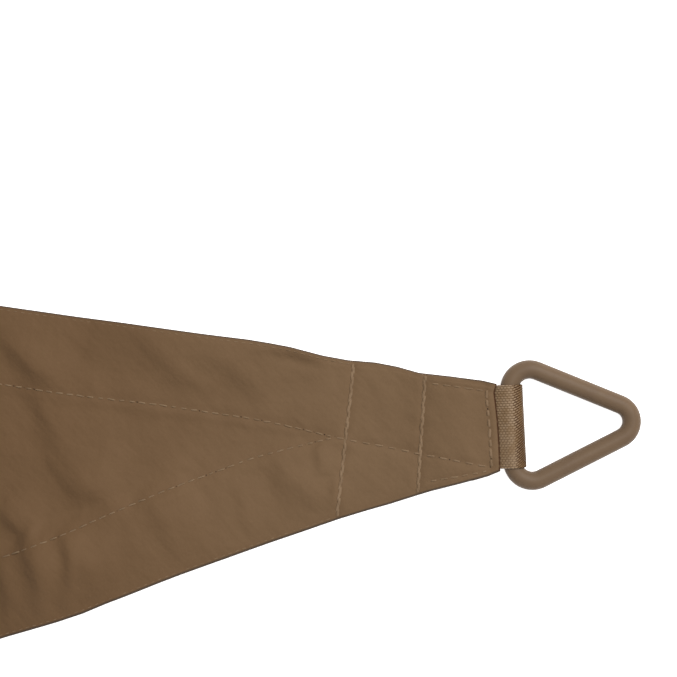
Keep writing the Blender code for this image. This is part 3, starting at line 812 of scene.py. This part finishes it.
def columnShares(half):  # for one row, from the left edge to the right one
    rounding, fieldColumns = clothMesh["rounding"], clothMesh["fieldColumns"]
    hem = np.array(rounding + clothMesh["hemColumns"])
    count = len(clothMesh["hemColumns"]) + fieldColumns
    wide = np.concatenate((hem, hem[-1] + (half - hem[-1]) * np.arange(1, fieldColumns + 1) / fieldColumns))
    edge = clothMesh["edgeRound"]
    even = np.concatenate((rounding, edge + (half - edge) * np.arange(1, count + 1) / count))
    evenBelow, hemAbove = clothMesh["evenBelow"], clothMesh["hemAbove"]
    blend = float(ease((half - evenBelow) / (hemAbove - evenBelow)))
    fromEdge = even * (1 - blend) + wide * blend if blend > 0 else even
    shares = 1 - fromEdge / half
    shares[-1] = 0
    return np.concatenate((shares, -shares[-2::-1]))


def bodyRows(corner):
    steps, growth, widest = clothMesh["rows"][corner]
    rows = [layers["pocketDepth"]]
    for stays, step in steps:
        while rows[-1] < stays:
            rows.append(rows[-1] + step)
    stays = rows[-1]
    while rows[-1] < reach:
        step = min(step * growth, widest)
        rows.append(rows[-1] + step)
    rows = np.array(rows)
    stretch = (reach - stays) / (rows[-1] - stays)
    return np.where(rows <= stays, rows, stays + (rows - stays) * stretch)


def clothRows(corner):  # from the bottom of the pocket out along its roof, round the lip and back
    nose = layers["lip"] / 2
    flap = list(clothMesh["flapRows"])
    inside = [layers["pocketDepth"]] * 2 + flap[::-1]
    angles = np.radians(clothMesh["noseAngles"])
    lip = list(nose - nose * np.cos(angles))
    rows = inside + lip + flap + list(bodyRows(corner))
    kinds = ["end"] + ["inside"] * (len(inside) - 1) + list(angles) + ["flap"] * len(flap)
    return rows, kinds + ["flap"] + ["body"] * (len(rows) - len(kinds) - 1)


def clothFace(corner, upper):
    rows, kinds = clothRows(corner)
    side = 1 if upper else -1
    lip = layers["lip"]
    places, maps = [], []
    for row, kind in zip(rows, kinds):
        half = float(halfWidthOf(row))
        share = columnShares(half)
        row = np.full(share.shape, row)
        x, y, under, over = clothAt(corner, row, share)
        fromEdge = (1 - np.abs(share)) * half
        rounded = np.sqrt(1 - np.clip(1 - fromEdge / clothMesh["edgeRound"], 0, 1) ** 2)
        middle = (under + over) / 2
        flapMiddle = over - lip / 2 if upper else under + lip / 2
        if kind == "end":
            z = middle
        elif kind == "body":
            z = middle + side * (over - under) / 2 * rounded
        elif kind == "inside":
            z = flapMiddle - side * lip / 2 * rounded
        elif kind == "flap":
            z = flapMiddle + side * lip / 2 * rounded
        else:  # an angle round the lip
            z = flapMiddle + side * lip / 2 * rounded * math.sin(kind)
        places.append(np.stack((x, y, z), axis=-1))
        off = seamOffsets(corner, row, share)
        maps.append(np.stack((alongOf(row), fromEdge, off["left"], off["right"], off["far"], off["near"],
                              row - seams["endAt"], (1 - share) * half - seams["leftAt"]), axis=-1))
    return np.array(places), np.array(maps)


def gridOf(place, maps, names):  # a flat grid, bent to the given places, with its maps in metres
    rows, columns = place.shape[:2]
    grid = bmesh.new()
    bmesh.ops.create_grid(grid, x_segments=rows - 1, y_segments=columns - 1, size=1)
    bent = meshOf(grid, "grid")
    at = np.empty(len(bent.vertices) * 3, np.float32)
    bent.vertices.foreach_get("co", at)
    at = at.reshape(-1, 3)
    i = np.rint((at[:, 0] + 1) / 2 * (rows - 1)).astype(int)
    j = np.rint((at[:, 1] + 1) / 2 * (columns - 1)).astype(int)
    movePoints(bent, placeOnFrame(place[i, j]))
    faceCorners = np.empty(len(bent.loops), np.int32)
    bent.loops.foreach_get("vertex_index", faceCorners)
    spread = maps[i, j][faceCorners] * mm
    for k, name in enumerate(names):
        addMap(bent, name, spread[:, 2 * k:2 * k + 2])
    return bent


def makeCloth():
    maps = ("run", "hems", "crossings", "ends")
    whole = joinParts([gridOf(*clothFace(corner, upper), maps)
                       for corner in plan["corners"] for upper in (True, False)], clothMesh["apart"])
    openEdges = [edge for edge in whole.edges if edge.is_boundary]
    print("open edges before filling", len(openEdges))
    bmesh.ops.holes_fill(whole, edges=openEdges, sides=6)
    print("open edges left", sum(edge.is_boundary for edge in whole.edges),
          "crowded", sum(len(edge.link_faces) > 2 for edge in whole.edges))
    return finishPiece("sailCloth", closedMesh(whole, "sailCloth"), clothFinish(), ["sail"])


cloth = makeCloth()

# webbing loops

strap = {
    "width": 40.0,
    "tail": 11.5,  # held inside the cloth's pocket
    "rod": 8.8,
    "barOut": 6.6,  # from the cloth's end to the middle of the bar
    "room": 0.7,
    "bendIn": 2.0,  # the layers part here, in from the cloth's end
    "rib": 40.0 / 36,  # one rib of the weave, across the strap
    "lean": (0.30, 0.60),  # ribs climbed in a millimetre on the bend, at the left and the right side
    "leanReach": 8.5,
    "float": 1.7,  # length of a float
    "ribSwell": 0.8,  # powers that flatten the tops of ribs and floats
    "stepSwell": 0.7,
    "relief": 0.5,
    "backRelief": 0.5,  # share of it on the strap's inner face
    "flatter": 0.45,  # share of the relief where the strap lies straight
    "opened": 7.0,  # length about the bar on which the bend opens the weave
    "openedShare": 0.85,
    "closed": 2.0,  # and on which its outermost part is closed again
    "closedShare": 0.8,
    "selvedge": 0.5,
    "selvedgeWave": 0.14,
    "turnPoints": 90,
    "softTurn": 0.9,  # on each side, for the strap's heading
    "cells": {"front": (5, 5), "left": (4, 3), "right": (4, 3)},  # of the mesh in a rib and a float
    "apart": 0.001,
}
turnRadius = (strap["rod"] + strap["room"] + layers["webbing"]) / 2 + layers["gap"]
barHeight = turnRadius + layers["webbing"] / 2


def loopLine():  # the strap's middle seen from its side, as evenly spaced points from the bar's middle
    lower = layers["endLift"] + layers["lip"] + layers["gap"] + layers["webbing"] / 2
    upper = lower + layers["webbing"] + layers["gap"]
    tail, bend = -strap["barOut"] - strap["tail"], -strap["barOut"] - strap["bendIn"]
    centre = np.array((strap["room"] / 2, barHeight))
    headings = []
    for level, side in ((lower, -1), (upper, 1)):
        away = centre - (bend, level)
        heading = math.atan2(away[1], away[0]) + side * math.asin(turnRadius / np.hypot(*away))
        headings.append(heading + side * math.pi / 2)
    angles = np.linspace(*headings, strap["turnPoints"])
    turn = centre + turnRadius * np.stack((np.cos(angles), np.sin(angles)), axis=-1)
    line = np.concatenate((((tail, lower), (bend, lower)), turn, ((bend, upper), (tail, upper))))
    run = np.concatenate(((0,), np.cumsum(np.hypot(*np.diff(line, axis=0).T))))
    return line, run


def cornerPlace(corner):  # from a corner's bar to the sail
    at = plan["corners"][corner]
    return (Matrix.Rotation(math.radians(at["direction"]), 4, "Z")
            @ Matrix.Translation((reach + strap["barOut"], at["ringAcross"], 0))
            @ Matrix.Rotation(math.radians(at["ringTurn"]), 4, "Z"))


def moveBy(matrix, points):
    return points @ np.array(matrix.to_3x3()).T + np.array(matrix.translation)


def weaveRelief(u, fromBar):  # 1 on top of a float and 0 down between the ribs
    lean = np.interp(-u, (-u[-1], u[-1]), strap["lean"])
    rib = (u - u[0]) / strap["rib"] + lean * np.minimum(np.abs(fromBar), strap["leanReach"])
    swell = np.abs(np.sin(math.pi * rib)) ** strap["ribSwell"]
    turns = fromBar / strap["float"] + 0.5 * np.floor(rib)
    step = np.abs(np.sin(math.pi * turns)) ** strap["stepSwell"]
    opened = np.exp(-(fromBar / strap["opened"]) ** 4)
    relief = swell * (1 - (1 - step) * (1 - strap["openedShare"] * opened))
    shown = strap["flatter"] + (1 - strap["flatter"]) * opened
    shown = shown * (1 - strap["closedShare"] * np.exp(-(fromBar / strap["closed"]) ** 2))
    return 1 - (1 - relief) * shown


def roundedBy(fromEdge):
    return np.sqrt(1 - np.clip(1 - fromEdge / strap["selvedge"], 0, 1) ** 2)


def makeLoop(corner):
    acrossCells, alongCells = strap["cells"][corner]
    line, run = loopLine()
    rows = round(run[-1] / strap["float"]) * alongCells + 1
    columns = round(strap["width"] / strap["rib"]) * acrossCells + 1
    v = np.linspace(0, run[-1], rows)
    u = np.linspace(-strap["width"] / 2, strap["width"] / 2, columns)
    middle, ahead, behind = (np.stack([np.interp(v + by, run, line[:, k]) for k in (0, 1)], axis=-1)
                             for by in (0, strap["softTurn"], -strap["softTurn"]))
    heading = ahead - behind
    heading /= np.hypot(*heading.T)[:, None]
    outward = np.stack((heading[:, 1], -heading[:, 0]), axis=-1)
    fromBar = v[:, None] - run[-1] / 2
    relief = weaveRelief(u, fromBar)
    fromSide = np.minimum(u - u[0], u[-1] - u)
    rounded = roundedBy(fromSide) * roundedBy(np.minimum(v, v[-1] - v))[:, None]
    wavy = u + np.sign(u) * strap["selvedgeWave"] * (relief - 0.5) * (fromSide < strap["rib"])
    maps = np.stack(np.broadcast_arrays(u, fromBar), axis=-1)
    faces = []
    for side, share in ((1, 1), (-1, strap["backRelief"])):
        depth = strap["relief"] * (1 - relief) * share
        away = side * (layers["webbing"] / 2 - depth) * rounded
        flat = middle[:, None, :] + outward[:, None, :] * away[..., None]
        place = np.stack((flat[..., 0], wavy, flat[..., 1]), axis=-1)
        faces.append(gridOf(moveBy(cornerPlace(corner), place), maps, ("weave",)))
    made = closedMesh(joinParts(faces, strap["apart"]), "webbingLoop")
    return finishPiece(corner + "Loop", made, webbingMaterial, ["webbing_loop_" + corner])


webbingMaterial = webbingFinish()
loops = [makeLoop(corner) for corner in plan["corners"]]

# rings

ring = {
    "rod": 9.0,
    "base": 62.8,
    "tipAngle": 48.7,
    "baseBend": 9.7,
    "tipBend": 8.85,
    "sides": 40,
    "bendSteps": 22,
    "apart": 0.01,
}


def runOn(bm, section, move):
    grown = bmesh.ops.extrude_edge_only(bm, edges=section)
    verts = [item for item in grown["geom"] if isinstance(item, bmesh.types.BMVert)]
    bmesh.ops.translate(bm, vec=move, verts=verts)
    return [item for item in grown["geom"] if isinstance(item, bmesh.types.BMEdge)]


def bendOn(bm, section, centre, degrees):
    turned = bmesh.ops.spin(bm, geom=section, cent=centre, axis=(0, 0, 1),
                            angle=math.radians(degrees), steps=ring["bendSteps"])
    return [item for item in turned["geom_last"] if isinstance(item, bmesh.types.BMEdge)]


def makeRing(corner):
    rod, baseBend, tipBend = ring["rod"], ring["baseBend"], ring["tipBend"]
    halfTip = math.radians(ring["tipAngle"] / 2)
    baseTurn, tipTurn = 90 + ring["tipAngle"] / 2, 180 - ring["tipAngle"]
    barEnd = (ring["base"] - rod) / 2 - baseBend
    baseCorner = barEnd + baseBend * math.tan(math.radians(baseTurn / 2))
    tipCentre = baseCorner / math.tan(halfTip) - tipBend / math.sin(halfTip)
    sideRun = (Vector((tipCentre, 0)) - Vector((baseBend, barEnd))
               + (tipBend - baseBend) * Vector((math.sin(halfTip), math.cos(halfTip))))
    bm = bmesh.new()
    bmesh.ops.create_circle(bm, segments=ring["sides"], radius=rod / 2,
                            matrix=Matrix.Rotation(math.pi / 2, 4, "X"))
    section = runOn(bm, list(bm.edges), (0, barEnd, 0))
    section = bendOn(bm, section, (baseBend, barEnd, 0), -baseTurn)
    section = runOn(bm, section, (sideRun.x, sideRun.y, 0))
    section = bendOn(bm, section, (tipCentre, 0, 0), -tipTurn)
    section = runOn(bm, section, (-sideRun.x, sideRun.y, 0))
    section = bendOn(bm, section, (baseBend, -barEnd, 0), -baseTurn)
    runOn(bm, section, (0, barEnd, 0))
    bmesh.ops.remove_doubles(bm, verts=bm.verts, dist=ring["apart"])
    tilt = Matrix.Rotation(math.asin((barHeight - rod / 2) / (tipCentre + tipBend)), 4, "Y")
    at = plan["corners"][corner]
    sway = Matrix.Rotation(math.radians(at["ringSway"]), 4, "Z")
    place = cornerPlace(corner) @ Matrix.Translation((0, at["ringSlide"], barHeight)) @ sway @ tilt
    bmesh.ops.transform(bm, matrix=place, verts=bm.verts)
    bmesh.ops.scale(bm, vec=(mm, mm, mm), verts=bm.verts)
    bmesh.ops.translate(bm, vec=sailMiddle, verts=bm.verts)
    return finishPiece(corner + "Ring", closedMesh(bm, "ring"), paintMaterial,
                       ["ring_" + corner])


paintMaterial = paintFinish()
rings = [makeRing(corner) for corner in plan["corners"]]

# sewing thread

chance = np.random.default_rng(sewing["seed"])


def hemPath(corner, side, start, end, fromEdge=None):  # rows and shares along a seam beside an edge
    fine = sewing["fineReach"]
    rows = np.concatenate((np.arange(start, min(end, fine), sewing["fineStep"]),
                           np.arange(max(start, fine), end, sewing["coarseStep"]), (end,)))
    away = fromEdge
    if fromEdge is None:
        column = 1 if side > 0 else 2
        wander = readTable(seams["wander"], column, rows) if corner == "front" else 0
        away = layers["hemWidth"] + wander
    elif callable(fromEdge):
        away = fromEdge(rows)
    return alongOf(rows), rows, side * (1 - away / halfWidthOf(rows))


def crossPath(corner, which):
    at, lean, bow = seams["cross"][corner][which]
    share = np.linspace(-sewing["crossReach"], sewing["crossReach"], sewing["crossPoints"])
    rows = at + lean * share + bow * share ** 2
    return share * halfWidthOf(rows), rows, share


def boxEndPath():
    share = np.linspace(-sewing["endReach"], sewing["endReach"], sewing["endPoints"])
    rows = np.full(share.shape, seams["endAt"])
    return share * halfWidthOf(rows), rows, share


def sewAlong(corner, path, kind, aside=0.0, phase=0.5):  # each stitch as its place and its turn
    run, rows, shares = path
    thread = sewing[kind]
    first = math.ceil(run[0] / thread["pitch"] - phase)
    last = math.floor(run[-1] / thread["pitch"] - phase)
    centres = (np.arange(first, last + 1) + phase) * thread["pitch"]
    uneven = thread.get("uneven", sewing["usualUneven"])
    length = 1 + uneven * chance.standard_normal(len(centres))
    length = thread["length"] * np.clip(length, *sewing["lengths"])
    tips = []
    for by in (-0.5, 0.5):
        at = np.clip(centres + by * length, run[0], run[-1])
        x, y, _, over = clothAt(corner, np.interp(at, run, rows), np.interp(at, run, shares))
        tips.append(np.stack((x, y, over), axis=-1))
    heading = tips[1] - tips[0]
    size = np.linalg.norm(heading, axis=1)
    heading /= size[:, None]
    row, share = np.interp(centres, run, rows), np.interp(centres, run, shares)
    byRow, byShare = 0, sewing["beside"] / halfWidthOf(row)
    if kind in ("cross", "boxEnd"):
        byRow, byShare = sewing["beside"], 0
    x0, y0, _, z0 = clothAt(corner, row - byRow, share - byShare, seamed=False)
    x1, y1, _, z1 = clothAt(corner, row + byRow, share + byShare, seamed=False)
    sideways = np.stack((x1 - x0, y1 - y0, z1 - z0), axis=-1)
    sideways -= heading * np.sum(heading * sideways, axis=1)[:, None]
    sideways /= np.linalg.norm(sideways, axis=1)[:, None]
    stray = np.radians(sewing["stray"]) * chance.standard_normal(len(centres))[:, None]
    heading, sideways = heading + sideways * np.tan(stray), sideways - heading * np.tan(stray)
    up = np.cross(heading, sideways)
    up *= np.sign(up[:, 2:])
    middle = (tips[0] + tips[1]) / 2 + sideways * aside
    form = np.tile((thread["wide"], thread["tall"]), (len(centres), 1))
    return np.concatenate((middle, heading, sideways, up, size[:, None], form), axis=1)


def stitchShape(sides, cuts):  # one stitch along x, a unit long and two wide
    bm = bmesh.new()
    bmesh.ops.create_cone(bm, cap_ends=True, segments=sides, radius1=1, radius2=1, depth=1,
                          matrix=Matrix.Rotation(math.pi / 2, 4, "Y"))
    long = [edge for edge in bm.edges if abs(edge.verts[0].co.x - edge.verts[1].co.x) > 0.5]
    bmesh.ops.subdivide_edges(bm, edges=long, cuts=cuts, use_grid_fill=True)
    bmesh.ops.recalc_face_normals(bm, faces=bm.faces)
    bm.verts.index_update()
    points = np.array([vertex.co for vertex in bm.verts])
    faces = [[vertex.index for vertex in face.verts] for face in bm.faces]
    bm.free()
    return points, faces


def makeThread(name, stitches, sides, cuts):
    points, faces = stitchShape(sides, cuts)
    counts = np.array([len(face) for face in faces])
    flat = np.concatenate(faces)
    t = np.abs(2 * points[:, 0])
    taper = 1 - sewing["taper"] * t ** 4
    width, height = sewing["halfWidth"] * taper, sewing["halfHeight"] * taper
    rise = sewing["above"] - sewing["dip"] * t ** 5
    middle, heading, sideways, up = (stitches[:, None, k:k + 3] for k in (0, 3, 6, 9))
    size, wide, tall = (stitches[:, k, None, None] for k in (12, 13, 14))
    along = points[None, :, 0, None] * size
    place = (middle + heading * along + sideways * (points[:, 1] * width)[None, :, None] * wide
             + up * ((points[:, 2] * height)[None, :, None] * tall + rise[None, :, None]))
    made = bpy.data.meshes.new(name)
    many = len(stitches)
    made.vertices.add(many * len(points))
    movePoints(made, placeOnFrame(place.reshape(-1, 3)))
    made.loops.add(many * len(flat))
    made.polygons.add(many * len(faces))
    indexes = flat[None, :] + np.arange(many)[:, None] * len(points)
    starts = np.concatenate(((0,), np.cumsum(np.tile(counts, many))[:-1]))
    made.polygons.foreach_set("loop_start", starts.astype(np.int32))
    made.loops.foreach_set("vertex_index", indexes.ravel().astype(np.int32))
    made.update(calc_edges=True)
    angle = np.arctan2(points[:, 2], points[:, 1]) / (2 * math.pi)
    wrap = np.stack(np.broadcast_arrays(along[..., 0] * mm, angle), axis=-1)
    addMap(made, "wrap", wrap[:, flat])
    made.validate()
    return finishPiece(name, made, threadMaterial)


threadMaterial = threadFinish()
edgeRows, hemRows, cornerRows = [], [], []
for corner in plan["corners"]:
    far, near = (crossPath(corner, which) for which in (0, 1))
    crossed = far if corner == "front" else near
    middleStart, middleEnd = sewing["middleRun"]
    for side in (1, -1):
        start = float(crossed[1][-1 if side > 0 else 0]) + sewing["pastCross"]
        path = hemPath(corner, side, start, reach - 1, seams["topstitch"])
        edgeRows.append(sewAlong(corner, path, "edge"))
        if side > 0:
            path = hemPath(corner, side, middleStart, middleEnd)
            cornerRows.append(sewAlong(corner, path, "middle"))
        hemRows.append(sewAlong(corner, hemPath(corner, side, middleEnd, reach - 1), "hem"))
    for path in (far, near):
        for aside, phase in ((sewing["passApart"], 0.5), (-sewing["passApart"], sewing["passPhase"])):
            cornerRows.append(sewAlong(corner, path, "cross", aside, phase))
    leftSide = hemPath(corner, 1, *sewing["leftSide"], seams["leftAt"])
    rightSide = hemPath(corner, -1, *sewing["rightSide"], rightSideAt)
    for path, kind in ((leftSide, "box"), (rightSide, "box"), (boxEndPath(), "boxEnd")):
        cornerRows.append(sewAlong(corner, path, kind))
edgeThread = makeThread("edgeThread", np.concatenate(edgeRows), sides=5, cuts=3)
hemThread = makeThread("hemThread", np.concatenate(hemRows), sides=5, cuts=3)
cornerThread = makeThread("cornerThread", np.concatenate(cornerRows), sides=8, cuts=7)

# floor, light and camera

stage = {
    "floor": 60.0,  # metres
    "floorColour": (0.93, 0.93, 0.93, 1),
    "floorGlow": 0.8,  # painted light: the floor glows, which washes out the shadows cast on it
    "drop": 0.0003,
    "sky": (1.0, 1.0, 1.0, 1),
    "skyStrength": 0.55,
    "sunStrength": 1.93,
    "sunSize": 40.0,
    "sunTilt": 36.0,
    "sunTurn": 128.0,
    "panel": (1.1, 0.30),  # metres
    "panelPower": 7.3,
    "panelOut": 30.0,  # mm, from the front corner's end to the ring
    "panelAt": (0.40, 0.44, 0.88),  # from there, in metres
    "panelTurn": 50.0,
    "panelTilt": -12.0,
}

floorForm = bmesh.new()
bmesh.ops.create_grid(floorForm, x_segments=1, y_segments=1, size=stage["floor"] / 2)
bmesh.ops.translate(floorForm, vec=(0, 0, -stage["drop"]), verts=floorForm.verts)
floorMesh = meshOf(floorForm, "floor")
floorLook = Finish("paleFloor", **{"Base Color": stage["floorColour"], "Roughness": 0.9,
                                   "Specular IOR Level": 0.1, "Emission Color": (1, 1, 1, 1),
                                   "Emission Strength": stage["floorGlow"]})
floorMesh.materials.append(floorLook.material)
floor = addToScene("floor", floorMesh)

world = bpy.data.worlds.new("studio")
world.use_nodes = True
sky = world.node_tree.nodes["Background"].inputs
sky["Color"].default_value = stage["sky"]
sky["Strength"].default_value = stage["skyStrength"]
bpy.context.scene.world = world

sun = bpy.data.lights.new("softLight", "SUN")
sun.energy = stage["sunStrength"]
sun.angle = math.radians(stage["sunSize"])
addToScene("softLight", sun, turn=(math.radians(stage["sunTilt"]), 0, math.radians(stage["sunTurn"])))

panel = bpy.data.lights.new("panelLight", "AREA")
panel.shape = "RECTANGLE"
panel.size, panel.size_y = stage["panel"]
panel.energy = stage["panelPower"]
ringPlace = placeOnFrame(np.array((*toSail("front", -stage["panelOut"], 0.0), 0.0)))
panelTurn = (Matrix.Rotation(math.radians(stage["panelTurn"]), 3, "Z")
             @ Matrix.Rotation(math.radians(stage["panelTilt"]), 3, "Y")).to_euler()
panelLight = addToScene("panelLight", panel, ringPlace + np.array(stage["panelAt"]), panelTurn)
panelLight.visible_camera = False
print("floor and lights are in place")

view = {
    "inward": 71.6,  # what the photo's middle shows, from the middle of the front corner's end
    "across": 51.25,
    "width": 327.0,  # of the ground that the photo takes in
    "lens": 100.0,
    "sensor": 36.0,
    "turn": -6.1,
    "clothHeight": 5.0,
}
lens = bpy.data.cameras.new("camera")
lens.lens, lens.sensor_width = view["lens"], view["sensor"]
lookAt = toSail("front", view["inward"], view["across"])
height = view["width"] * view["lens"] / view["sensor"] + view["clothHeight"]
camera = addToScene("camera", lens, placeOnFrame(np.array((*lookAt, height))),
                    (0, 0, math.radians(view["turn"])))
bpy.context.scene.camera = camera
bpy.context.scene.view_settings.view_transform = "Standard"
